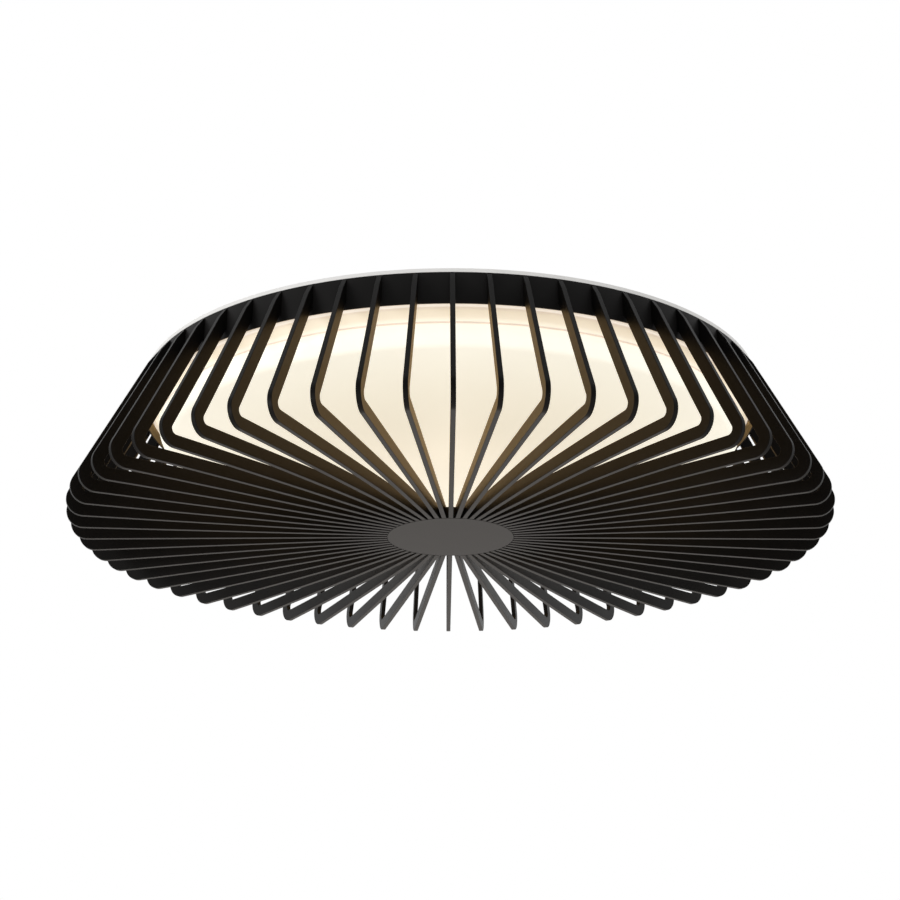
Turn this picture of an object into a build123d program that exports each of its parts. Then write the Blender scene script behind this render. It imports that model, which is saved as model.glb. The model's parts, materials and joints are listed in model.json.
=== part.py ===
# LED ceiling light: a white base pan on the ceiling, an opal diffuser drum under it, and a black cage
# of flat radial fins that hangs from the pan by a twist lock.
# Millimetres. The origin is the centre of the ceiling face, +Z points up into the ceiling, so every
# piece lies at or below Z = 0. Depths are written as positive distances below the ceiling.
import os
from math import cos, degrees, radians, sin, sqrt, tan

from build123d import *

os.makedirs("parts", exist_ok=True)

# Base pan
pan_radius = 237.0
pan_sheet = 1.2
pan_rim_depth = 2.8
ceiling_hole_circle = 180.0
ceiling_hole_count = 4
ceiling_hole_radius = 2.75
ceiling_hole_angle = 45.0

# General fits
seat_gap = 0.3
bond_gap = 0.1
screw_gap = 0.1

# Cage band, flush with the pan's rim
band_wall = 1.2
band_height = 22.7

# Fins
fin_count = 60
fins_per_group = 5
fin_thickness = 3.5
fin_depth = 9.0
fin_lean = 27.85
fin_start = 3.57
fin_drop = 2.4
fin_outer_bend = 13.0
fin_inner_bend = 4.0
outer_bend_facets = 5
inner_bend_facets = 3
cage_depth = 118.0
arm_rise = 1.4
slot_gap = 0.1

# Hub
hub_radius = 48.5
hub_skin = 2.0
tongue_length = 4.5

# Diffuser
diffuser_side_gap = 11.3
diffuser_depth = 48.5
diffuser_wall = 2.5
diffuser_shoulder = 12.0
shoulder_facets = 4
groove_height = 1.5
groove_depth = 0.8
groove_rise = 1.5

# Twist locks of the cage and of the diffuser
lock_count = 4
lug_sheet = 1.5
lug_reach = 5.0
lug_width = 16.0
lug_depth = 4.5
lug_leg_height = 12.0
hook_sheet = 1.5
hook_side_gap = 0.8
hook_tip_gap = 1.2
cage_lock_angle = 45.0
diffuser_lock_angle = 0.0

# LED boards
board_count = 4
board_offset = 125.0
board_width = 20.0
board_thickness = 1.6
board_gap = 4.0
chips_per_board = 8
chip_pitch = 30.0
chip_margin = 11.0
chip_offset = 128.0
chip_size = 5.0
chip_height = 0.8
link_length = 14.0
link_width = 8.0
link_height = 3.0

# Driver
driver_length = 100.0
driver_width = 38.0
driver_depth = 22.0
driver_wall = 1.6
driver_lid_sheet = 1.6
ear_length = 9.0
ear_width = 12.0
ear_sheet = 2.4
driver_board_depth = 4.0
driver_board_sheet = 1.6
transformer_size = 20.0
transformer_height = 12.0
capacitor_size = 10.0
capacitor_length = 22.0
capacitor_offset = 28.0

# Terminal block and supply opening, in line with the driver
entry_x = 82.0
entry_radius = 7.0
entry_bore_radius = 4.0
grommet_flange = 3.0
grommet_flange_sheet = 2.0
terminal_x = 35.0
terminal_gap = 15.0
terminal_pitch = 9.0
terminal_length = 20.0
terminal_width = 28.0
terminal_height = 15.0
terminal_well_radius = 2.8
terminal_well_depth = 3.0
earth_setback = 8.0
earth_side_gap = 1.0
earth_tag_sheet = 0.8
earth_tag_width = 8.0
earth_tag_length = 9.0
earth_blade_height = 9.0
connector_x = -120.5
connector_length = 8.0
connector_width = 10.0
connector_height = 8.0

# Screws
screw_radius = 1.5
screw_head_radius = 3.0
screw_head_height = 1.8
screw_tip_gap = 0.2

# Leads
lead_radius = 1.1
lead_depth = 7.5
lead_seat = 5.0
led_lead_pitch = 4.0

# Heights worked out from the sizes above
pan_face = -pan_sheet
band_top = -(pan_rim_depth + seat_gap)
fin_top = band_top - fin_drop
cage_bottom = -cage_depth
hub_bottom = cage_bottom + arm_rise
hub_top = hub_bottom + fin_depth
slot_floor = hub_bottom + hub_skin
lug_top = -lug_depth
lug_bottom = lug_top - lug_sheet
ledge_top = lug_bottom - seat_gap
diffuser_top = pan_face - seat_gap
diffuser_face = -diffuser_depth
board_face = pan_face - board_thickness
lead_level = -lead_depth

# Radii worked out from the sizes above
band_radius = pan_radius
band_inner = band_radius - band_wall
fin_slope = tan(radians(fin_lean))
fin_corner_radius = band_radius + fin_start + fin_slope * (fin_top - cage_bottom)
fin_side_depth = fin_depth / cos(radians(fin_lean))
diffuser_radius = band_inner - diffuser_side_gap
diffuser_inner = diffuser_radius - diffuser_wall
board_near = board_offset - board_width / 2
board_end = board_offset + board_width / 2
board_start = board_gap - board_near
arm_end = hub_radius + bond_gap
tongue_end = hub_radius - tongue_length
fin_pitch = 360.0 / fin_count
first_fin = -90.0
slot_width = fin_thickness + 2 * slot_gap
group_count = fin_count // fins_per_group


def radial_plane(angle):
    """The upright plane through the centre line: local X points outwards at the angle, local Y up."""
    turn = radians(angle)
    outwards = (cos(turn), sin(turn), 0)
    return Plane(origin=(0, 0, 0), x_dir=outwards, z_dir=(sin(turn), -cos(turn), 0))


def lug_root_in(wall_radius):
    """The distance from the axis to the root of a flat lug whose leg's ends touch a round wall."""
    return sqrt((wall_radius - bond_gap) ** 2 - (lug_width / 2) ** 2) - lug_sheet


def save(piece, label):
    """Label a finished piece and write its file."""
    piece.part.label = label
    export_step(piece.part, f"parts/{label}.step")


def rounded(before, corner, after, radius, facets):
    """Points on the arc that rounds a corner between two straight edges."""
    back = (Vector(*before) - Vector(*corner)).normalized()
    onward = (Vector(*after) - Vector(*corner)).normalized()
    half_corner = radians(back.get_angle(onward)) / 2
    centre = Vector(*corner) + (back + onward).normalized() * (radius / sin(half_corner))
    spoke = Vector(*corner) + back * (radius / tan(half_corner)) - centre
    turn = 180.0 - 2 * degrees(half_corner)
    if back.cross(onward).Z > 0:
        turn = -turn
    return [centre + spoke.rotate(Axis.Z, turn * i / facets) for i in range(facets + 1)]


def fin_outline():
    """Gusset on the band, slanted strap, rounded corner and level arm with its tongue."""
    arm_slope = arm_rise / (fin_corner_radius - arm_end)
    inner_corner_z = cage_bottom + fin_depth
    inner_corner_radius = fin_corner_radius - fin_slope * fin_depth - fin_side_depth
    strap_leaves_band = cage_bottom + (fin_corner_radius - fin_side_depth - band_radius) / fin_slope
    arm_top_end = inner_corner_z + arm_slope * (inner_corner_radius - tongue_end)
    top = (band_radius + fin_start, fin_top)
    outer_corner = (fin_corner_radius, cage_bottom)
    arm_low_end = (arm_end, hub_bottom)
    tongue_top = (tongue_end, arm_top_end)
    inner_corner = (inner_corner_radius, inner_corner_z)
    strap_start = (band_radius, strap_leaves_band)
    with BuildSketch() as outline:
        with BuildLine():
            Polyline(
                top,
                *rounded(top, outer_corner, arm_low_end, fin_outer_bend, outer_bend_facets),
                arm_low_end,
                (arm_end, slot_floor + slot_gap),
                (tongue_end, slot_floor + slot_gap),
                tongue_top,
                *rounded(tongue_top, inner_corner, strap_start, fin_inner_bend, inner_bend_facets),
                strap_start,
                (band_radius, fin_top),
                close=True,
            )
        make_face()
    return outline.sketch


def hook_outline(lug_root):
    """A channel, open outwards, whose lower ledge carries a lug that reaches in from lug_root."""
    web_outer = lug_root - lug_reach - hook_side_gap
    web_inner = web_outer - hook_sheet
    tip = lug_root - hook_tip_gap
    with BuildSketch() as outline:
        with BuildLine():
            Polyline(
                (web_inner, pan_face),
                (tip, pan_face),
                (tip, pan_face - hook_sheet),
                (web_outer, pan_face - hook_sheet),
                (web_outer, ledge_top),
                (tip, ledge_top),
                (tip, ledge_top - hook_sheet),
                (web_inner, ledge_top - hook_sheet),
                close=True,
            )
        make_face()
    return outline.sketch


def hook_stop_outline(lug_root):
    """The wall at the closed end of a hook, which stops the lug."""
    web_outer = lug_root - lug_reach - hook_side_gap
    tip = lug_root - hook_tip_gap
    with BuildSketch() as outline:
        with BuildLine():
            Polyline(
                (web_outer, pan_face - hook_sheet),
                (tip, pan_face - hook_sheet),
                (tip, ledge_top),
                (web_outer, ledge_top),
                close=True,
            )
        make_face()
    return outline.sketch


def make_hook(angle, lug_root, label):
    """A hook under the pan. The lug comes in from the side of smaller angles and ends at the stop."""
    channel = hook_outline(lug_root)
    stop = hook_stop_outline(lug_root)
    stop_length = seat_gap + hook_sheet
    closed_end = radial_plane(angle).offset(-(lug_width / 2 + stop_length))
    with BuildPart() as hook:
        with BuildSketch(closed_end):
            add(channel)
        extrude(amount=lug_width + stop_length)
        with BuildSketch(closed_end):
            add(stop)
        extrude(amount=hook_sheet)
    save(hook, label)


def make_lug(angle, lug_root, label):
    """An angle fixed inside a round wall, whose foot lies over a hook's ledge."""
    with BuildPart() as lug:
        with BuildSketch(radial_plane(angle).offset(-lug_width / 2)):
            with Locations((lug_root - lug_reach, lug_top)):
                Rectangle(lug_reach + lug_sheet, lug_sheet, align=(Align.MIN, Align.MAX))
            with Locations((lug_root, lug_top)):
                Rectangle(lug_sheet, lug_leg_height, align=(Align.MIN, Align.MAX))
        extrude(amount=lug_width)
    save(lug, label)


def make_screw(plane, length):
    """A hexagon head screw: the head lies on the plane's far side, the shank points along it."""
    with BuildPart() as screw:
        with BuildSketch(plane):
            RegularPolygon(screw_head_radius, 6)
        extrude(amount=-screw_head_height)
        with BuildSketch(plane):
            Circle(screw_radius)
        extrude(amount=length)
    return screw.part


def make_screws(places, seat, length):
    """Screws driven upwards, whose heads bear on one level."""
    return [make_screw(Plane((x, y, seat)), length) for x, y in places]


def make_leads(rows, start_x, end_x):
    """Straight leads side by side, each in its row."""
    with BuildPart() as leads:
        with BuildSketch(Plane.YZ.offset(start_x)):
            with Locations(*[(row, lead_level) for row in rows]):
                Circle(lead_radius)
        extrude(amount=end_x - start_x)
    return leads.part


# Places on the pan's underside that its pieces share
poles_at = [-terminal_pitch, 0.0, terminal_pitch]
earth_y = poles_at[2]
driver_right = terminal_x - terminal_length / 2 - terminal_gap
driver_left = driver_right - driver_length
driver_x = (driver_left + driver_right) / 2
driver_y = earth_y - earth_tag_width / 2 - earth_side_gap - driver_width / 2
earth_x = driver_right - earth_setback
ear_y = driver_y - driver_width / 2 + ear_width / 2
ears_at = [(driver_left - ear_length / 2, ear_y), (driver_right + ear_length / 2, ear_y)]
led_leads_at = [driver_y - led_lead_pitch / 2, driver_y + led_lead_pitch / 2]
lead_way = 2 * (lead_radius + bond_gap)
board_turns = [number * 360.0 / board_count for number in range(board_count)]

# Base pan: pressed disc with a turned-down rim, ceiling holes, supply opening and screw holes
with BuildPart() as base_pan:
    with BuildSketch():
        Circle(pan_radius)
    extrude(amount=-pan_rim_depth)
    with BuildSketch(Plane.XY.offset(pan_face)):
        Circle(pan_radius - pan_sheet)
    extrude(amount=-pan_rim_depth, mode=Mode.SUBTRACT)
    with PolarLocations(ceiling_hole_circle / 2, ceiling_hole_count, start_angle=ceiling_hole_angle):
        Hole(ceiling_hole_radius)
    with Locations((entry_x, 0)):
        Hole(entry_radius)
    with Locations(*ears_at):
        Hole(screw_radius + screw_gap)
save(base_pan, "base_pan")

# Cable grommet: rubber bush that lines the supply opening
with BuildPart() as cable_grommet:
    with BuildSketch():
        with Locations((entry_x, 0)):
            Circle(entry_radius - bond_gap)
    extrude(amount=-pan_sheet)
    with BuildSketch(Plane.XY.offset(pan_face)):
        with Locations((entry_x, 0)):
            Circle(entry_radius + grommet_flange)
    extrude(amount=-grommet_flange_sheet)
    with Locations((entry_x, 0, 0)):
        Hole(entry_bore_radius)
save(cable_grommet, "cable_grommet")

# Twist locks: hooks welded under the pan, lugs inside the cage band and inside the diffuser
cage_lug_root = lug_root_in(band_inner)
diffuser_lug_root = lug_root_in(diffuser_inner)
for number in range(lock_count):
    cage_angle = cage_lock_angle + number * 360.0 / lock_count
    diffuser_angle = diffuser_lock_angle + number * 360.0 / lock_count
    make_hook(cage_angle, cage_lug_root, f"cage_hook_{number + 1}")
    make_lug(cage_angle, cage_lug_root, f"cage_lug_{number + 1}")
    make_hook(diffuser_angle, diffuser_lug_root, f"diffuser_hook_{number + 1}")
    make_lug(diffuser_angle, diffuser_lug_root, f"diffuser_lug_{number + 1}")

# LED boards: straight strips set like a pinwheel around the driver, bonded to the pan
board_middle = (board_offset, (board_start + board_end) / 2)
for number, turn in enumerate(board_turns):
    with BuildPart() as led_board:
        with BuildSketch(Plane.XY.offset(pan_face)):
            with Locations(Location((0, 0, 0), (0, 0, turn))):
                with Locations(board_middle):
                    Rectangle(board_width, board_end - board_start)
        extrude(amount=-board_thickness)
    save(led_board, f"led_board_{number + 1}")

# LED chips, one row on each board
first_chip = board_start + chip_margin
chips_at = [(chip_offset, first_chip + chip_pitch * i) for i in range(chips_per_board)]
with BuildPart() as led_chips:
    with BuildSketch(Plane.XY.offset(board_face)):
        for turn in board_turns:
            with Locations(Location((0, 0, 0), (0, 0, turn))):
                with Locations(*chips_at):
                    Rectangle(chip_size, chip_size)
    extrude(amount=-chip_height)
save(led_chips, "led_chips")

# Board links: bridge connectors from each board's side to the next board's end
with BuildPart() as board_links:
    with BuildSketch(Plane.XY.offset(board_face)):
        for turn in board_turns:
            with Locations(Location((0, 0, 0), (0, 0, turn))):
                with Locations((board_near - board_gap / 2, board_offset)):
                    Rectangle(link_length, link_width)
    extrude(amount=-link_height)
save(board_links, "board_links")

# Driver case: an open tray under the pan with a fixing ear at each end
with BuildPart() as driver_case:
    with BuildSketch(Plane.XY.offset(pan_face)):
        with Locations((driver_x, driver_y)):
            Rectangle(driver_length, driver_width)
    extrude(amount=-(driver_depth - driver_lid_sheet))
    with BuildSketch(Plane.XY.offset(pan_face - driver_wall)):
        with Locations((driver_x, driver_y)):
            Rectangle(driver_length - 2 * driver_wall, driver_width - 2 * driver_wall)
    extrude(amount=-driver_depth, mode=Mode.SUBTRACT)
    with BuildSketch(Plane.XY.offset(pan_face)):
        with Locations(*ears_at):
            Rectangle(ear_length + driver_wall, ear_width)
            Circle(screw_radius + screw_gap, mode=Mode.SUBTRACT)
    extrude(amount=-ear_sheet)
    with BuildSketch(Plane.YZ.offset(driver_left)):
        with Locations(*[(y, lead_level) for y in led_leads_at]):
            Rectangle(lead_way, lead_way)
    extrude(amount=driver_wall, mode=Mode.SUBTRACT)
    with BuildSketch(Plane.YZ.offset(driver_right)):
        with Locations(*[(y, lead_level) for y in poles_at[:2]]):
            Rectangle(lead_way, lead_way)
    extrude(amount=-driver_wall, mode=Mode.SUBTRACT)
save(driver_case, "driver_case")

# Driver board with its transformer and capacitor
driver_board_face = -driver_board_depth - driver_board_sheet
with BuildPart() as driver_board:
    with BuildSketch(Plane.XY.offset(-driver_board_depth)):
        with Locations((driver_x, driver_y)):
            Rectangle(
                driver_length - 2 * (driver_wall + seat_gap),
                driver_width - 2 * (driver_wall + seat_gap),
            )
    extrude(amount=-driver_board_sheet)
    with BuildSketch(Plane.XY.offset(driver_board_face)):
        with Locations((driver_x, driver_y)):
            Rectangle(transformer_size, transformer_size)
    extrude(amount=-transformer_height)
    with BuildSketch(Plane.XY.offset(driver_board_face)):
        with Locations((driver_x - capacitor_offset, driver_y)):
            Rectangle(capacitor_length, capacitor_size)
    extrude(amount=-capacitor_size)
save(driver_board, "driver_board")

# Driver lid: closes the tray from below with a rim inside its walls
with BuildPart() as driver_lid:
    with BuildSketch(Plane.XY.offset(pan_face - driver_depth)):
        with Locations((driver_x, driver_y)):
            Rectangle(driver_length, driver_width)
    extrude(amount=driver_lid_sheet)
    with BuildSketch(Plane.XY.offset(pan_face - driver_depth + driver_lid_sheet)):
        with Locations((driver_x, driver_y)):
            Rectangle(
                driver_length - 2 * (driver_wall + seat_gap),
                driver_width - 2 * (driver_wall + seat_gap),
            )
            Rectangle(
                driver_length - 2 * (2 * driver_wall + seat_gap),
                driver_width - 2 * (2 * driver_wall + seat_gap),
                mode=Mode.SUBTRACT,
            )
    extrude(amount=driver_wall)
save(driver_lid, "driver_lid")

# Driver screws
driver_screw_length = ear_sheet + pan_sheet - screw_tip_gap
screws = make_screws(ears_at, pan_face - ear_sheet, driver_screw_length)
with BuildPart() as driver_screws:
    add(screws)
save(driver_screws, "driver_screws")

# Terminal block: three poles, each with a lead way along X and a screw well from below
terminal_face = pan_face - terminal_height
with BuildPart() as terminal_block:
    with BuildSketch(Plane.XY.offset(pan_face)):
        with Locations((terminal_x, 0)):
            Rectangle(terminal_length, terminal_width)
    extrude(amount=-terminal_height)
    with BuildSketch(Plane.YZ.offset(terminal_x - terminal_length / 2)):
        with Locations(*[(y, lead_level) for y in poles_at]):
            Rectangle(lead_way, lead_way)
    extrude(amount=terminal_length, mode=Mode.SUBTRACT)
    with BuildSketch(Plane.XY.offset(terminal_face)):
        with Locations(*[(terminal_x, y) for y in poles_at]):
            RegularPolygon(terminal_well_radius, 6)
    extrude(amount=terminal_well_depth, mode=Mode.SUBTRACT)
save(terminal_block, "terminal_block")

# Terminal screws: hexagon heads that fill their wells
with BuildPart() as terminal_screws:
    with BuildSketch(Plane.XY.offset(terminal_face + terminal_well_depth)):
        with Locations(*[(terminal_x, y) for y in poles_at]):
            RegularPolygon(terminal_well_radius - screw_gap, 6)
    extrude(amount=-terminal_well_depth)
save(terminal_screws, "terminal_screws")

# Earth tag: a foot welded to the pan with a blade bent down for the lead
blade_x = earth_x + earth_tag_length / 2
with BuildPart() as earth_tag:
    with BuildSketch(Plane.XY.offset(pan_face)):
        with Locations((earth_x, earth_y)):
            Rectangle(earth_tag_length, earth_tag_width)
    extrude(amount=-earth_tag_sheet)
    with BuildSketch(Plane.XY.offset(pan_face)):
        with Locations((blade_x, earth_y)):
            Rectangle(earth_tag_sheet, earth_tag_width, align=(Align.MAX, Align.CENTER))
    extrude(amount=-earth_blade_height)
save(earth_tag, "earth_tag")

# LED connector on the third board
connector_face = connector_x + connector_length / 2
with BuildPart() as led_connector:
    with BuildSketch(Plane.XY.offset(board_face)):
        with Locations((connector_x, driver_y)):
            Rectangle(connector_length, connector_width)
    extrude(amount=-connector_height)
save(led_connector, "led_connector")

# Leads: from the terminal block to the driver, to the earth tag, and from the driver to the boards
terminal_mouth = terminal_x - terminal_length / 2
supply_leads = make_leads(poles_at[:2], terminal_mouth + lead_seat, driver_right - lead_seat)
supply_leads.label = "supply_leads"
export_step(supply_leads, "parts/supply_leads.step")
earth_lead = make_leads(poles_at[2:], terminal_mouth + lead_seat, blade_x)
earth_lead.label = "earth_lead"
export_step(earth_lead, "parts/earth_lead.step")
led_leads = make_leads(led_leads_at, driver_left + lead_seat, connector_face)
led_leads.label = "led_leads"
export_step(led_leads, "parts/led_leads.step")

# Diffuser: opal drum with a rounded shoulder and a fine groove above it
groove_low = diffuser_face + diffuser_shoulder + groove_rise
face_centre = (0, diffuser_face)
shoulder_corner = (diffuser_radius, diffuser_face)
groove_low_edge = (diffuser_radius, groove_low)
inner_shoulder = diffuser_shoulder - diffuser_wall
with BuildPart() as diffuser:
    with BuildSketch(Plane.XZ):
        with BuildLine():
            Polyline(
                face_centre,
                *rounded(
                    face_centre, shoulder_corner, groove_low_edge, diffuser_shoulder, shoulder_facets
                ),
                groove_low_edge,
                (diffuser_radius - groove_depth, groove_low + groove_height / 2),
                (diffuser_radius, groove_low + groove_height),
                (diffuser_radius, diffuser_top),
                (diffuser_inner, diffuser_top),
                (diffuser_inner, diffuser_face + diffuser_shoulder),
                (diffuser_inner - inner_shoulder, diffuser_face + diffuser_wall),
                (0, diffuser_face + diffuser_wall),
                close=True,
            )
        make_face()
    revolve(axis=Axis.Z)
save(diffuser, "diffuser")

# Cage band: a plain hoop
with BuildPart() as top_band:
    with BuildSketch(Plane.XY.offset(band_top)):
        Circle(band_radius)
        Circle(band_inner, mode=Mode.SUBTRACT)
    extrude(amount=-band_height)
save(top_band, "top_band")

# Fins, in groups of neighbours
fin_shape = fin_outline()
for group in range(group_count):
    with BuildPart() as fins:
        for place in range(fins_per_group):
            fin_number = group * fins_per_group + place - fins_per_group // 2
            middle = radial_plane(first_fin + fin_pitch * fin_number)
            with BuildSketch(middle.offset(-fin_thickness / 2)):
                add(fin_shape)
            extrude(amount=fin_thickness)
    save(fins, f"fins_{group + 1:02d}")

# Hub: a solid disc slotted from above for the fin tongues, plain from below
with BuildPart() as hub:
    with BuildSketch(Plane.XY.offset(hub_bottom)):
        Circle(hub_radius)
    extrude(amount=fin_depth)
    with BuildSketch(Plane.XY.offset(hub_top)):
        with PolarLocations(hub_radius - tongue_length / 2, fin_count, start_angle=first_fin):
            Rectangle(tongue_length + 2 * seat_gap, slot_width)
    extrude(amount=slot_floor - hub_top, mode=Mode.SUBTRACT)
save(hub, "hub")
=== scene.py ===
# LED ceiling light with a cage of flat black fins, seen from below: materials, lit diffuser, soft
# light and a camera at the photograph's viewing angle. The scene is in metres, in the frame of the
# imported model: the ceiling is at height 0 and the light hangs below it.
import json
from math import cos, pi, radians, sin, tan

import bmesh
import bpy
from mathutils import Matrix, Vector

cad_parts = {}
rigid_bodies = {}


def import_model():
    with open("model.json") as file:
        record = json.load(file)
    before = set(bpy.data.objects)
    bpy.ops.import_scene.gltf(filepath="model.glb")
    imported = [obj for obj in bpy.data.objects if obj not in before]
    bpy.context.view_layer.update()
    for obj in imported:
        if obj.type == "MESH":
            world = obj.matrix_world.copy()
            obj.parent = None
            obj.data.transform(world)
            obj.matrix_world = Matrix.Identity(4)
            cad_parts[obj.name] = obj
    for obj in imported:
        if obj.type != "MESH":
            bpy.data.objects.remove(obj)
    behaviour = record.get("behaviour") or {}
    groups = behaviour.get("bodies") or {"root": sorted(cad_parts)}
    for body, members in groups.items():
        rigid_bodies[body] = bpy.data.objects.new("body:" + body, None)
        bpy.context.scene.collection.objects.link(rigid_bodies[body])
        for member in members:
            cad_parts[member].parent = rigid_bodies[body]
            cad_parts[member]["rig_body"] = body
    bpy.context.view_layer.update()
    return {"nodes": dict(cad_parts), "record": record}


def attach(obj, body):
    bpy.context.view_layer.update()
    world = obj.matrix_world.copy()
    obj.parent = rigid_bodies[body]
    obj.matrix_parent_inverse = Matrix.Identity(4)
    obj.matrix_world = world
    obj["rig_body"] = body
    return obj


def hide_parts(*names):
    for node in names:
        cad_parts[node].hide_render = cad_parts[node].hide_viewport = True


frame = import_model()
nodes = frame["nodes"]
SLOT_OF = {part["node"]: part["material_slot"] for part in frame["record"]["subparts"]}
MM = 0.001

# Sizes in millimetres and angles in degrees. They follow the CAD, apart from a few that are fitted
# to the photograph within a millimetre. The rounded edges, the tapered tips of the fins and the
# diffuser's flare are made only here.
BAND_RADIUS = 237.0
BAND_INNER = 235.8
BAND_TOP = -2.86
BAND_BOTTOM = -25.8
BAND_EDGE = 0.3
BAND_EDGE_STEPS = 3

FIN_COUNT = 60
FIN_GROUPS = 12
FIRST_FIN_ANGLE = -90
FIN_THICKNESS = 3.5
FIN_DEPTH = 9.0
FIN_EDGE = 0.35
FIN_START = 3.15
FIN_TOP = -5.5
FIN_TIP = (237.6, -3.8)
FIN_TIP_END = -12.0
FIN_CORNER = 299.2
CAGE_BOTTOM = -118.0
OUTER_BEND = 13.1
OUTER_BEND_STEPS = 18
INNER_BEND = 4.0
INNER_BEND_STEPS = 10
ARM_END = 48.6

HUB_RADIUS = 48.5
HUB_BOTTOM = -116.6
HUB_TOP = -107.6
HUB_EDGE = 0.5
HUB_EDGE_STEPS = 4

DIFFUSER_RADIUS = 224.5
DIFFUSER_TOP = -1.5
DIFFUSER_FACE = -48.5
DIFFUSER_WALL = 2.5
DIFFUSER_EDGE = 0.5
DIFFUSER_EDGE_STEPS = 3
DIFFUSER_SEGMENTS = 256
SHOULDER = 12.0
SHOULDER_STEPS = 16
INNER_SHOULDER_STEPS = 10
FACE_RING = 110.0
GROOVE_LOW = -35.0
GROOVE_HEIGHT = 1.5
GROOVE_DEPTH = 0.5
# Points of the groove, as shares of its height and of its depth
GROOVE_SHAPE = ((0.0, 0.0), (0.25, 0.8), (0.5, 1.0), (0.75, 0.8), (1.0, 0.0))
FLARE_REACH = 10.2
FLARE_HEIGHT = 16.0
FLARE_SHEET = 2.0
FLARE_CHAMFER = 0.3
FLARE_CHAMFER_HEIGHT = 0.4

PAN_EDGE = 0.5
GROMMET_EDGE = 0.4
LOCK_EDGE = 0.2
LOCK_COUNT = 4

# A pin is one more point or ring on a flat face, beside its rounded edge. It keeps the smooth
# shading of the edge from tilting over the whole face.
FIN_PIN = 0.6
HUB_PIN = 0.1
SHOULDER_PIN = 0.2

SHARP_ANGLE = 32
BEVEL_ANGLE = 35
BEVEL_SEGMENTS = 2
LATHE_SEGMENTS = 192
MERGE_DISTANCE = 0.001
FLAT_ANGLE = 1

# The lit diffuser: its wall's colour at each height, and its face's colour from the middle outwards
# The wall's colours hold painted shade: a dark line in the groove, and colour that dims and browns
# up the flare under the band.
WALL_GLOW_AND_PAINTED_SHADE = [
    (-48.5, (0.96, 0.89, 0.74)),
    (-47.0, (1.00, 0.97, 0.84)),
    (-38.0, (1.00, 0.97, 0.83)),
    (-35.2, (1.00, 0.96, 0.82)),
    (-35.0, (0.43, 0.38, 0.38)),
    (-33.6, (0.43, 0.38, 0.38)),
    (-33.4, (0.88, 0.83, 0.68)),
    (-30.7, (0.77, 0.65, 0.47)),
    (-27.3, (0.74, 0.61, 0.42)),
    (-25.6, (0.64, 0.50, 0.37)),
    (-24.6, (1.00, 0.88, 0.74)),
    (-21.5, (0.36, 0.27, 0.19)),
    (-17.5, (0.20, 0.12, 0.06)),
]
FACE_SHADES = [(0.0, (0.90, 0.78, 0.58)), (0.6, (0.93, 0.84, 0.66)), (1.0, (0.95, 0.89, 0.74))]
FACE_SHADES_REACH = 214.0
FACE_BLEND = (-48.4, -47.8)  # between these heights the face's colour gives way to the wall's
GLOW_ON_MATT = (2.3, 1.55, 0.75, 1.0)
GLOW_IN_GLOSS = (1.5, 0.92, 0.34, 1.0)
GLOW_STRENGTH = 1.0
SEEN_STRENGTH = 0.75

# Surfaces. Each relief is the depth of a surface's bumps, in millimetres.
BLACK_IOR = 1.2
PLAIN_IOR = 1.5
COAT_RELIEF = 0.2
OPAL_RELIEF = 0.1
CIRCUIT_RELIEF = 0.5
CLOUD_TO_GRAIN = 0.04  # the scale of the colour's noise, as a share of that of the gloss
CLOUD_SPAN = (0.35, 0.65)
WARM = (1.0, 0.86, 0.74)

# The floor, in metres
FLOOR_SIZE = 16.0
FLOOR_HEIGHT = -2.6
FLOOR_ROUGHNESS = 0.8
FLOOR_IN_GLOSS = 0.55

# The room's strength by the kind of ray. Gloss sees it darker on the side of low Y.
ROOM_WHITE = 1.0
ROOM_ON_MATT = 0.7
ROOM_DARK_SIDE = 0.3
ROOM_DARK_TO_BRIGHT = (-0.7, 0.1)

# The camera as fitted to the photograph's silhouette: place in metres, turn in degrees
CAMERA_LENS = 80.491
CAMERA_SENSOR = 36.0
CAMERA_CLIP_END = 50.0
CAMERA_PLACE = (-0.010249, -1.472453, -0.573300)
CAMERA_TURN = (109.724165, 0.082382, -0.360492)


# ---------------------------------------------------------------- materials
class Nodes:
    """A small helper that adds shader nodes to one node tree and links them."""

    def __init__(self, tree):
        self.tree = tree

    def add(self, kind, **settings):
        node = self.tree.nodes.new(kind)
        for key, value in settings.items():
            setattr(node, key, value)
        return node

    def feed(self, socket, value):
        """Gives a socket the output of another node, or a plain number or colour."""
        if isinstance(value, bpy.types.NodeSocket):
            self.tree.links.new(value, socket)
        else:
            socket.default_value = value

    def split(self, vector):
        """The X, Y and Z of a vector, by name."""
        node = self.add("ShaderNodeSeparateXYZ")
        self.feed(node.inputs["Vector"], vector)
        return node.outputs

    def spread(self, value, low=0.0, high=1.0, start=0.0, end=1.0):
        """Takes the span from start to end to the span from low to high, and stops at its ends."""
        node = self.add("ShaderNodeMapRange")
        self.feed(node.inputs["Value"], value)
        self.feed(node.inputs["From Min"], start)
        self.feed(node.inputs["From Max"], end)
        self.feed(node.inputs["To Min"], low)
        self.feed(node.inputs["To Max"], high)
        return node.outputs["Result"]

    def mix(self, factor, first, second, kind="RGBA"):
        node = self.add("ShaderNodeMix", data_type=kind)
        self.feed(node.inputs["Factor"], factor)
        self.feed(node.inputs["A"], first)
        self.feed(node.inputs["B"], second)
        return node.outputs["Result"]


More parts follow.
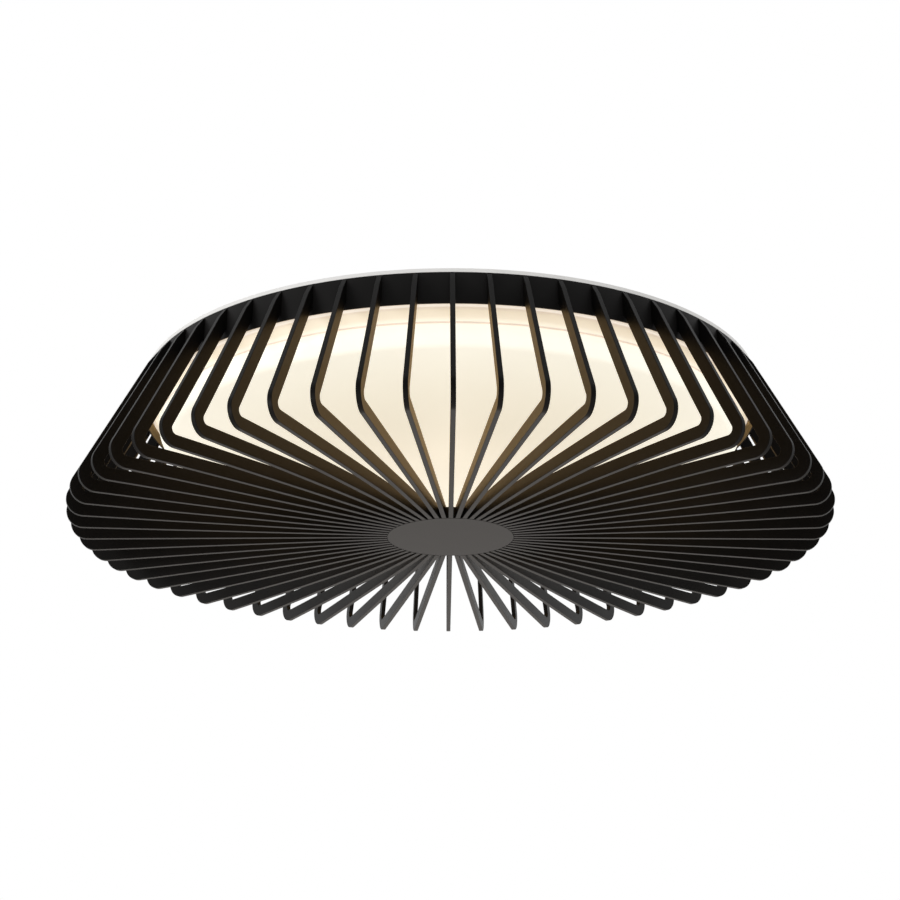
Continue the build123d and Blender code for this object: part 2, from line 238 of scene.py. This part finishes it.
class Material(Nodes):
    """A new material with its shader, and the noises, ramps and relief that go into it."""

    def __init__(self, name):
        self.material = bpy.data.materials.new(name)
        self.material.use_nodes = True
        super().__init__(self.material.node_tree)
        self.shader = self.tree.nodes["Principled BSDF"]
        self.place = self.add("ShaderNodeTexCoord").outputs["Object"]

    def set(self, name, value):
        self.feed(self.shader.inputs[name], value)

    def noise(self, scale, detail=3.0):
        node = self.add("ShaderNodeTexNoise")
        self.feed(node.inputs["Vector"], self.place)
        self.feed(node.inputs["Scale"], scale)
        self.feed(node.inputs["Detail"], detail)
        return node.outputs["Fac"]

    def ramp(self, factor, stops):
        node = self.add("ShaderNodeValToRGB")
        elements = node.color_ramp.elements
        elements[0].position = stops[0][0]
        elements[-1].position = stops[-1][0]
        elements[0].color = (*stops[0][1], 1.0)
        elements[-1].color = (*stops[-1][1], 1.0)
        for position, colour in stops[1:-1]:
            elements.new(position).color = (*colour, 1.0)
        self.feed(node.inputs["Fac"], factor)
        return node.outputs["Color"]

    def relief(self, height, strength, distance):
        """Bumps the surface. The distance is in millimetres."""
        node = self.add("ShaderNodeBump")
        self.feed(node.inputs["Strength"], strength)
        self.feed(node.inputs["Distance"], distance * MM)
        self.feed(node.inputs["Height"], height)
        self.set("Normal", node.outputs["Normal"])


def surface(name, dark, light, rough, grain, relief, ior=PLAIN_IOR, metallic=0.0):
    """A surface whose colour, gloss and relief vary a little with two noises.

    The colour goes from dark to light, the roughness from the first to the second number of rough.
    Grain is the scale of the fine noise, and relief is how strongly that noise bumps the surface.
    """
    finish = Material(name)
    cloud = finish.noise(grain * CLOUD_TO_GRAIN, detail=2.0)
    fine = finish.noise(grain, detail=4.0)
    stops = [(CLOUD_SPAN[0], dark), (CLOUD_SPAN[1], light)]
    finish.set("Base Color", finish.ramp(cloud, stops))
    finish.set("Roughness", finish.spread(fine, *rough))
    finish.relief(fine, relief, COAT_RELIEF)
    finish.set("IOR", ior)
    finish.set("Metallic", metallic)
    return finish.material


def wall_glow_and_painted_shade(finish, height):
    """The lit wall's colour, from its height, with painted shade: dark in the groove and dimming up
    the flare towards the band.
    """
    low = WALL_GLOW_AND_PAINTED_SHADE[0][0]
    high = WALL_GLOW_AND_PAINTED_SHADE[-1][0]
    share = finish.spread(height, start=low * MM, end=high * MM)
    return finish.ramp(share, [((z - low) / (high - low), shade) for z, shade in WALL_GLOW_AND_PAINTED_SHADE])


def face_shade(finish):
    """The lit face's colour, from its distance to the upright axis."""
    flat = finish.add("ShaderNodeVectorMath", operation="MULTIPLY")
    finish.feed(flat.inputs[0], finish.place)
    finish.feed(flat.inputs[1], (1, 1, 0))
    reach = finish.add("ShaderNodeVectorMath", operation="LENGTH")
    finish.feed(reach.inputs[0], flat.outputs["Vector"])
    share = finish.spread(reach.outputs["Value"], end=FACE_SHADES_REACH * MM)
    return finish.ramp(share, FACE_SHADES)


def opal():
    """Opal plastic lit from inside, dimmer to the camera than in the light that it sheds. To the
    camera its wall shows painted shade in the groove and up the flare.
    """
    finish = Material("opal_lit")
    height = finish.split(finish.place)["Z"]
    on_wall = finish.spread(height, start=FACE_BLEND[0] * MM, end=FACE_BLEND[1] * MM)
    # The colour that the camera sees, with the wall's painted shade
    shade = finish.mix(on_wall, face_shade(finish), wall_glow_and_painted_shade(finish, height))
    rays = finish.add("ShaderNodeLightPath").outputs
    glow = finish.mix(rays["Is Glossy Ray"], GLOW_ON_MATT, GLOW_IN_GLOSS)
    finish.set("Emission Color", finish.mix(rays["Is Camera Ray"], glow, shade))
    strength = finish.spread(rays["Is Camera Ray"], GLOW_STRENGTH, SEEN_STRENGTH)
    finish.set("Emission Strength", strength)
    cloud = finish.noise(30.0)
    fine = finish.noise(900.0)
    stops = [(0.3, (0.60, 0.57, 0.51)), (0.7, (0.64, 0.61, 0.54))]
    finish.set("Base Color", finish.ramp(cloud, stops))
    finish.set("Roughness", finish.spread(fine, 0.30, 0.36))
    finish.relief(fine, 0.03, OPAL_RELIEF)
    return finish.material


def circuit():
    """Green circuit board with the dark speckle of its parts."""
    finish = Material("circuit_green")
    cells = finish.add("ShaderNodeTexVoronoi")
    finish.feed(cells.inputs["Vector"], finish.place)
    finish.feed(cells.inputs["Scale"], 160.0)
    speckle = cells.outputs["Distance"]
    stops = [(0.25, (0.012, 0.012, 0.012)), (0.35, (0.03, 0.20, 0.07))]
    finish.set("Base Color", finish.ramp(speckle, stops))
    finish.set("Roughness", finish.spread(speckle, 0.3, 0.5))
    finish.relief(speckle, 0.3, CIRCUIT_RELIEF)
    return finish.material


# The band's coat is the cage's own black coat. This lighter copy is painted light, so the band
# shows brighter than the fins' sides.
band_black_painted_lighter = surface(
    "band_coat_painted_lighter",
    (0.0086, 0.0081, 0.0079),
    (0.0102, 0.0096, 0.0093),
    (0.40, 0.48), 1400.0, 0.08, ior=BLACK_IOR,
)
MATERIALS = {
    "cage_black": surface(
        "cage_black_coat",
        (0.0026, 0.0023, 0.0020),
        (0.0036, 0.0031, 0.0027),
        (0.40, 0.48), 1400.0, 0.08, ior=BLACK_IOR,
    ),
    "pan_white": surface(
        "pan_white_coat", (0.80, 0.79, 0.77), (0.84, 0.83, 0.81), (0.36, 0.44), 1200.0, 0.08
    ),
    "hook_zinc": surface(
        "hook_zinc_plate",
        (0.52, 0.53, 0.54),
        (0.64, 0.64, 0.63),
        (0.30, 0.42), 700.0, 0.10, metallic=1.0,
    ),
    "lug_white": surface(
        "lug_white_plastic", (0.80, 0.78, 0.74), (0.84, 0.82, 0.78), (0.40, 0.50), 800.0, 0.06
    ),
    "board_white": surface(
        "board_white_mask", (0.82, 0.82, 0.80), (0.88, 0.88, 0.86), (0.22, 0.30), 500.0, 0.05
    ),
    "chip_yellow": surface(
        "chip_yellow_phosphor", (0.86, 0.66, 0.16), (0.92, 0.76, 0.26), (0.35, 0.45), 900.0, 0.10
    ),
    "connector_white": surface(
        "connector_white_plastic", (0.76, 0.74, 0.68), (0.82, 0.80, 0.74), (0.34, 0.44), 800.0, 0.05
    ),
    "driver_white": surface(
        "driver_white_plastic", (0.74, 0.74, 0.73), (0.80, 0.80, 0.79), (0.40, 0.52), 600.0, 0.12
    ),
    "circuit_green": circuit(),
    "terminal_white": surface(
        "terminal_white_plastic", (0.76, 0.76, 0.74), (0.82, 0.82, 0.80), (0.30, 0.38), 700.0, 0.05
    ),
    "screw_steel": surface(
        "screw_steel",
        (0.54, 0.55, 0.57),
        (0.66, 0.66, 0.67),
        (0.22, 0.34), 900.0, 0.10, metallic=1.0,
    ),
    "rubber_black": surface(
        "rubber_black", (0.018, 0.018, 0.018), (0.030, 0.030, 0.030), (0.62, 0.74), 900.0, 0.20
    ),
    "tag_brass": surface(
        "tag_brass",
        (0.62, 0.42, 0.16),
        (0.74, 0.54, 0.24),
        (0.24, 0.34), 900.0, 0.08, metallic=1.0,
    ),
    "lead_brown": surface(
        "lead_brown", (0.16, 0.07, 0.03), (0.22, 0.10, 0.05), (0.34, 0.42), 700.0, 0.05
    ),
    "lead_green": surface(
        "lead_green", (0.05, 0.30, 0.06), (0.08, 0.38, 0.10), (0.34, 0.42), 700.0, 0.05
    ),
    "lead_red": surface(
        "lead_red", (0.45, 0.03, 0.02), (0.55, 0.05, 0.04), (0.34, 0.42), 700.0, 0.05
    ),
    "opal": opal(),
}
for name, node in nodes.items():
    node.data.materials.clear()
    node.data.materials.append(MATERIALS[SLOT_OF[name]])


# ---------------------------------------------------------------- shapes
def new_piece(name, bm, like):
    """Makes an object of a bmesh, which replaces the CAD node that it is like, with its finish."""
    mesh = bpy.data.meshes.new(name)
    bm.to_mesh(mesh)
    bm.free()
    mesh.polygons.foreach_set("use_smooth", [True] * len(mesh.polygons))
    mesh.set_sharp_from_angle(angle=radians(SHARP_ANGLE))
    piece = bpy.data.objects.new(name, mesh)
    bpy.context.scene.collection.objects.link(piece)
    mesh.materials.append(MATERIALS[SLOT_OF[like]])
    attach(piece, nodes[like]["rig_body"])
    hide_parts(like)
    return piece


def soften(piece, width):
    """Rounds the sharp edges of a piece a little, as a coat or a mould does."""
    bevel = piece.modifiers.new("soft_edges", "BEVEL")
    bevel.width = width * MM
    bevel.segments = BEVEL_SEGMENTS
    bevel.limit_method = "ANGLE"
    bevel.angle_limit = radians(BEVEL_ANGLE)
    bevel.use_clamp_overlap = True
    bevel.harden_normals = True


def softened_copy(like, width):
    """A CAD node's own shape with its sharp edges rounded."""
    bm = bmesh.new()
    bm.from_mesh(nodes[like].data)
    bmesh.ops.remove_doubles(bm, verts=bm.verts, dist=MERGE_DISTANCE * MM)
    bmesh.ops.dissolve_limit(bm, angle_limit=radians(FLAT_ANGLE), verts=bm.verts, edges=bm.edges)
    soften(new_piece(like + "_soft", bm, like), width)


def arc(centre, radius, start, end, steps):
    """Points on an arc in the upright plane, angles in degrees from outwards, upwards positive."""
    turns = [radians(start + (end - start) * i / steps) for i in range(steps + 1)]
    return [(centre[0] + radius * cos(t), centre[1] + radius * sin(t)) for t in turns]


def lathe(name, profile, like, segments=LATHE_SEGMENTS, closed=False):
    """Turns a profile of (radius, height) points about the upright axis."""
    bm = bmesh.new()
    turns = [2 * pi * i / segments for i in range(segments)]
    rings = []
    for radius, height in profile:
        z = height * MM
        if radius == 0:
            rings.append([bm.verts.new((0, 0, z))])
        else:
            spots = [(radius * cos(turn) * MM, radius * sin(turn) * MM, z) for turn in turns]
            rings.append([bm.verts.new(spot) for spot in spots])
    pairs = list(zip(rings, rings[1:]))
    if closed:
        pairs.append((rings[-1], rings[0]))
    for low, high in pairs:
        for i in range(segments):
            j = (i + 1) % segments
            if len(low) == 1:
                bm.faces.new((low[0], high[j], high[i]))
            elif len(high) == 1:
                bm.faces.new((low[i], low[j], high[0]))
            else:
                bm.faces.new((low[i], low[j], high[j], high[i]))
    bmesh.ops.recalc_face_normals(bm, faces=bm.faces)
    return new_piece(name, bm, like)


def rounded(before, corner, after, radius, steps):
    """Points on the arc that rounds a corner, with a pin on each of the two edges."""
    corner = Vector(corner)
    back = (Vector(before) - corner).normalized()
    onward = (Vector(after) - corner).normalized()
    half = back.angle(onward) / 2
    centre = corner + (back + onward).normalized() * (radius / sin(half))
    spoke = corner + back * (radius / tan(half)) - centre
    turn = pi - 2 * half
    if back.x * onward.y - back.y * onward.x > 0:
        turn = -turn
    points = [tuple(centre + spoke + back * FIN_PIN)]
    for i in range(steps + 1):
        c, s = cos(turn * i / steps), sin(turn * i / steps)
        points.append((centre.x + spoke.x * c - spoke.y * s, centre.y + spoke.x * s + spoke.y * c))
    end = Vector(points[-1])
    return points + [tuple(end + onward * FIN_PIN)]


def fin_outline():
    """The fin's outline in its upright plane: tapered tip, strap, corner and arm."""
    lean = (FIN_CORNER - BAND_RADIUS - FIN_START) / (FIN_TOP - CAGE_BOTTOM)
    rise = (HUB_BOTTOM - CAGE_BOTTOM) / (FIN_CORNER - ARM_END)
    strap_width = FIN_DEPTH * (1 + lean ** 2) ** 0.5
    tip_end = (FIN_CORNER + lean * (CAGE_BOTTOM - FIN_TIP_END), FIN_TIP_END)
    outer_corner = (FIN_CORNER, CAGE_BOTTOM)
    inner_corner = (FIN_CORNER - lean * FIN_DEPTH - strap_width, CAGE_BOTTOM + FIN_DEPTH)
    arm_low = (ARM_END, HUB_BOTTOM)
    arm_high = (ARM_END, inner_corner[1] + rise * (inner_corner[0] - ARM_END))
    strap_start = (BAND_RADIUS, CAGE_BOTTOM + (FIN_CORNER - strap_width - BAND_RADIUS) / lean)
    return [
        FIN_TIP,
        tip_end,
        *rounded(tip_end, outer_corner, arm_low, OUTER_BEND, OUTER_BEND_STEPS),
        arm_low,
        arm_high,
        *rounded(arm_high, inner_corner, strap_start, INNER_BEND, INNER_BEND_STEPS),
        strap_start,
        (BAND_RADIUS, FIN_TIP[1]),
    ]


def fins(like, first, count):
    """A group of neighbouring fins, each a flat plate that stands in a plane through the axis."""
    outline = fin_outline()
    bm = bmesh.new()
    for number in range(first, first + count):
        turn = radians(FIRST_FIN_ANGLE + 360 / FIN_COUNT * number)
        along = Vector((cos(turn), sin(turn), 0))
        across = Vector((-sin(turn), cos(turn), 0)) * (FIN_THICKNESS / 2 * MM)
        middle = [along * (r * MM) + Vector((0, 0, z * MM)) for r, z in outline]
        near, far = [[bm.verts.new(spot + across * sign) for spot in middle] for sign in (-1, 1)]
        bm.faces.new(near)
        bm.faces.new(reversed(far))
        for i in range(len(outline)):
            j = (i + 1) % len(outline)
            bm.faces.new((near[j], near[i], far[i], far[j]))
    bmesh.ops.recalc_face_normals(bm, faces=bm.faces)
    soften(new_piece(like + "_plate", bm, like), FIN_EDGE)


group_size = FIN_COUNT // FIN_GROUPS
for group in range(FIN_GROUPS):
    fins(f"fins_{group + 1:02d}", group * group_size - group_size // 2, group_size)

lathe(
    "hub_disc",
    [
        (0, HUB_BOTTOM),
        (HUB_RADIUS - HUB_EDGE - HUB_PIN, HUB_BOTTOM),
        *arc((HUB_RADIUS - HUB_EDGE, HUB_BOTTOM + HUB_EDGE), HUB_EDGE, -90, 0, HUB_EDGE_STEPS),
        *arc((HUB_RADIUS - HUB_EDGE, HUB_TOP - HUB_EDGE), HUB_EDGE, 0, 90, HUB_EDGE_STEPS),
        (HUB_RADIUS - HUB_EDGE - HUB_PIN, HUB_TOP),
        (0, HUB_TOP),
    ],
    "hub",
)

outer_edge, inner_edge = BAND_RADIUS - BAND_EDGE, BAND_INNER + BAND_EDGE
high_edge, low_edge = BAND_TOP - BAND_EDGE, BAND_BOTTOM + BAND_EDGE
hoop = lathe(
    "band_hoop",
    [
        *arc((outer_edge, high_edge), BAND_EDGE, 90, 0, BAND_EDGE_STEPS),
        *arc((outer_edge, low_edge), BAND_EDGE, 0, -90, BAND_EDGE_STEPS),
        *arc((inner_edge, low_edge), BAND_EDGE, -90, -180, BAND_EDGE_STEPS),
        *arc((inner_edge, high_edge), BAND_EDGE, 180, 90, BAND_EDGE_STEPS),
    ],
    "top_band",
    closed=True,
)
# The band takes the lighter copy of the black coat: painted light.
hoop.data.materials[0] = band_black_painted_lighter

inner_radius = DIFFUSER_RADIUS - DIFFUSER_WALL
inner_shoulder = SHOULDER - DIFFUSER_WALL
shoulder_centre = (DIFFUSER_RADIUS - SHOULDER, DIFFUSER_FACE + SHOULDER)
groove = [
    (DIFFUSER_RADIUS - GROOVE_DEPTH * deep, GROOVE_LOW + GROOVE_HEIGHT * up)
    for up, deep in GROOVE_SHAPE
]
flare_top = GROOVE_LOW + GROOVE_HEIGHT + FLARE_HEIGHT
flare_radius = DIFFUSER_RADIUS + FLARE_REACH
flare_root = flare_top - (FLARE_REACH - FLARE_SHEET) * FLARE_HEIGHT / FLARE_REACH
outer_top = (DIFFUSER_RADIUS - DIFFUSER_EDGE, DIFFUSER_TOP - DIFFUSER_EDGE)
inner_top = (inner_radius + DIFFUSER_EDGE, DIFFUSER_TOP - DIFFUSER_EDGE)
lathe(
    "diffuser_drum",
    [
        (0, DIFFUSER_FACE),
        (FACE_RING, DIFFUSER_FACE),
        (DIFFUSER_RADIUS - SHOULDER - SHOULDER_PIN, DIFFUSER_FACE),
        *arc(shoulder_centre, SHOULDER, -90, 0, SHOULDER_STEPS),
        *groove,
        (flare_radius, flare_top - FLARE_CHAMFER_HEIGHT),
        (flare_radius - FLARE_CHAMFER, flare_top),
        (flare_radius - FLARE_SHEET, flare_top),
        (DIFFUSER_RADIUS, flare_root),
        *arc(outer_top, DIFFUSER_EDGE, 0, 90, DIFFUSER_EDGE_STEPS),
        *arc(inner_top, DIFFUSER_EDGE, 90, 180, DIFFUSER_EDGE_STEPS),
        *arc(shoulder_centre, inner_shoulder, 0, -90, INNER_SHOULDER_STEPS),
        (0, DIFFUSER_FACE + DIFFUSER_WALL),
    ],
    "diffuser",
    segments=DIFFUSER_SEGMENTS,
)

softened_copy("base_pan", PAN_EDGE)
softened_copy("cable_grommet", GROMMET_EDGE)
for number in range(1, LOCK_COUNT + 1):
    softened_copy(f"cage_hook_{number}", LOCK_EDGE)
    softened_copy(f"cage_lug_{number}", LOCK_EDGE)


# ---------------------------------------------------------------- floor, light and camera
def pale_floor():
    """Matt pale paint. In gloss it shows a little brighter and warmer, as a lit floor does."""
    paint = Material("floor_pale")
    stops = [(0.3, (0.795, 0.79, 0.78)), (0.7, (0.81, 0.805, 0.795))]
    paint.set("Base Color", paint.ramp(paint.noise(9.0), stops))
    paint.set("Roughness", FLOOR_ROUGHNESS)
    rays = paint.add("ShaderNodeLightPath").outputs
    paint.set("Emission Color", (*WARM, 1.0))
    paint.set("Emission Strength", paint.spread(rays["Is Glossy Ray"], 0.0, FLOOR_IN_GLOSS))
    return paint.material


def white_room():
    """White for camera and transmission rays, and dimmer for the rays that light the object."""
    world = bpy.data.worlds.new("studio")
    world.use_nodes = True
    room = Nodes(world.node_tree)
    rays = room.add("ShaderNodeLightPath").outputs
    heading = room.split(room.add("ShaderNodeTexCoord").outputs["Generated"])
    start, end = ROOM_DARK_TO_BRIGHT
    in_gloss = room.spread(heading["Y"], ROOM_DARK_SIDE, ROOM_WHITE, start, end)
    lit = room.mix(rays["Is Glossy Ray"], ROOM_ON_MATT, in_gloss, kind="FLOAT")
    straight = room.add("ShaderNodeMath", operation="MAXIMUM")
    room.feed(straight.inputs[0], rays["Is Camera Ray"])
    room.feed(straight.inputs[1], rays["Is Transmission Ray"])
    strength = room.mix(straight.outputs["Value"], lit, ROOM_WHITE, kind="FLOAT")
    background = room.tree.nodes["Background"]
    room.feed(background.inputs["Color"], (1, 1, 1, 1))
    room.feed(background.inputs["Strength"], strength)
    return world


def soft_light(name, place, target, size, power, colour=(1, 1, 1)):
    """A round area lamp that faces its target."""
    lamp = bpy.data.lights.new(name, "AREA")
    lamp.shape = "DISK"
    lamp.size = size
    lamp.energy = power
    lamp.color = colour
    holder = bpy.data.objects.new(name, lamp)
    holder.location = place
    holder.rotation_euler = (Vector(target) - Vector(place)).to_track_quat("-Z", "Y").to_euler()
    bpy.context.scene.collection.objects.link(holder)


bpy.ops.mesh.primitive_plane_add(size=FLOOR_SIZE, location=(0, 0, FLOOR_HEIGHT))
floor = bpy.context.object
floor.name = "floor"
floor.data.materials.append(pale_floor())

bpy.context.scene.world = white_room()
soft_light("key_left", (-2.4, -1.8, -0.5), (0, 0, -0.03), size=1.4, power=30.0)
soft_light("fill_right", (2.4, -1.6, -0.9), (0, 0, -0.05), size=1.6, power=4.0)
soft_light("low_back", (0, 2.8, -1.15), (0, 0, -0.1), size=2.2, power=4.0, colour=WARM)

camera = bpy.data.cameras.new("camera")
camera.sensor_width = CAMERA_SENSOR
camera.lens = CAMERA_LENS
camera.clip_end = CAMERA_CLIP_END
viewer = bpy.data.objects.new("camera", camera)
viewer.location = CAMERA_PLACE
viewer.rotation_euler = [radians(angle) for angle in CAMERA_TURN]
bpy.context.scene.collection.objects.link(viewer)
bpy.context.scene.camera = viewer
bpy.context.scene.view_settings.view_transform = "Standard"
